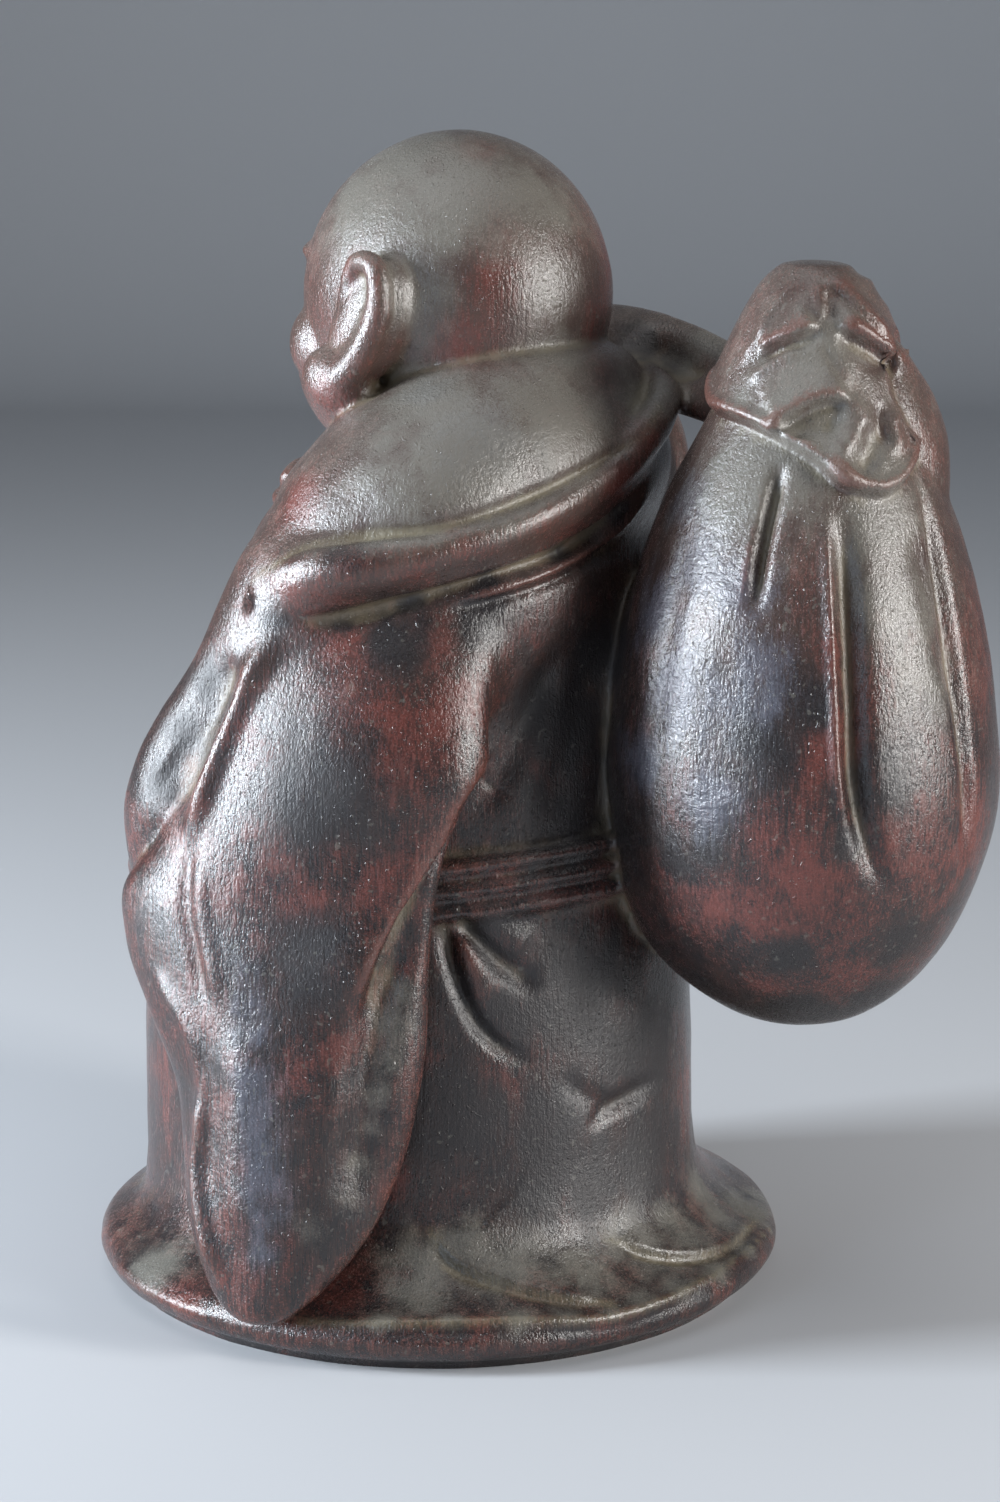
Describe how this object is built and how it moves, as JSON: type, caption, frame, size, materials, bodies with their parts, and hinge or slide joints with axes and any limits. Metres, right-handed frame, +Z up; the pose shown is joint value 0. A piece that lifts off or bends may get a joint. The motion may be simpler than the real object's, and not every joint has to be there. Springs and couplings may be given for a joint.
{
  "type": "hotei figure",
  "caption": "Standing hotei in brown iron-rich stoneware: robe slipped off the back, wide hanging sleeves, a pear-shaped sack over the right shoulder, round base.",
  "frame": {"origin": "centre of the round base's flat underside", "axes": "+Z up; the figure faces -Y; +X is to the figure's left"},
  "size_m": [0.16, 0.2007, 0.2499],
  "materials": {
    "stoneware": "unglazed iron-rich stoneware, dark brown to black with red-brown patches, grey sheen and olive ash in the creases, semi-gloss"
  },
  "bodies": {
    "root": {"hotei_figure": "stoneware"}
  },
  "joints": []
}
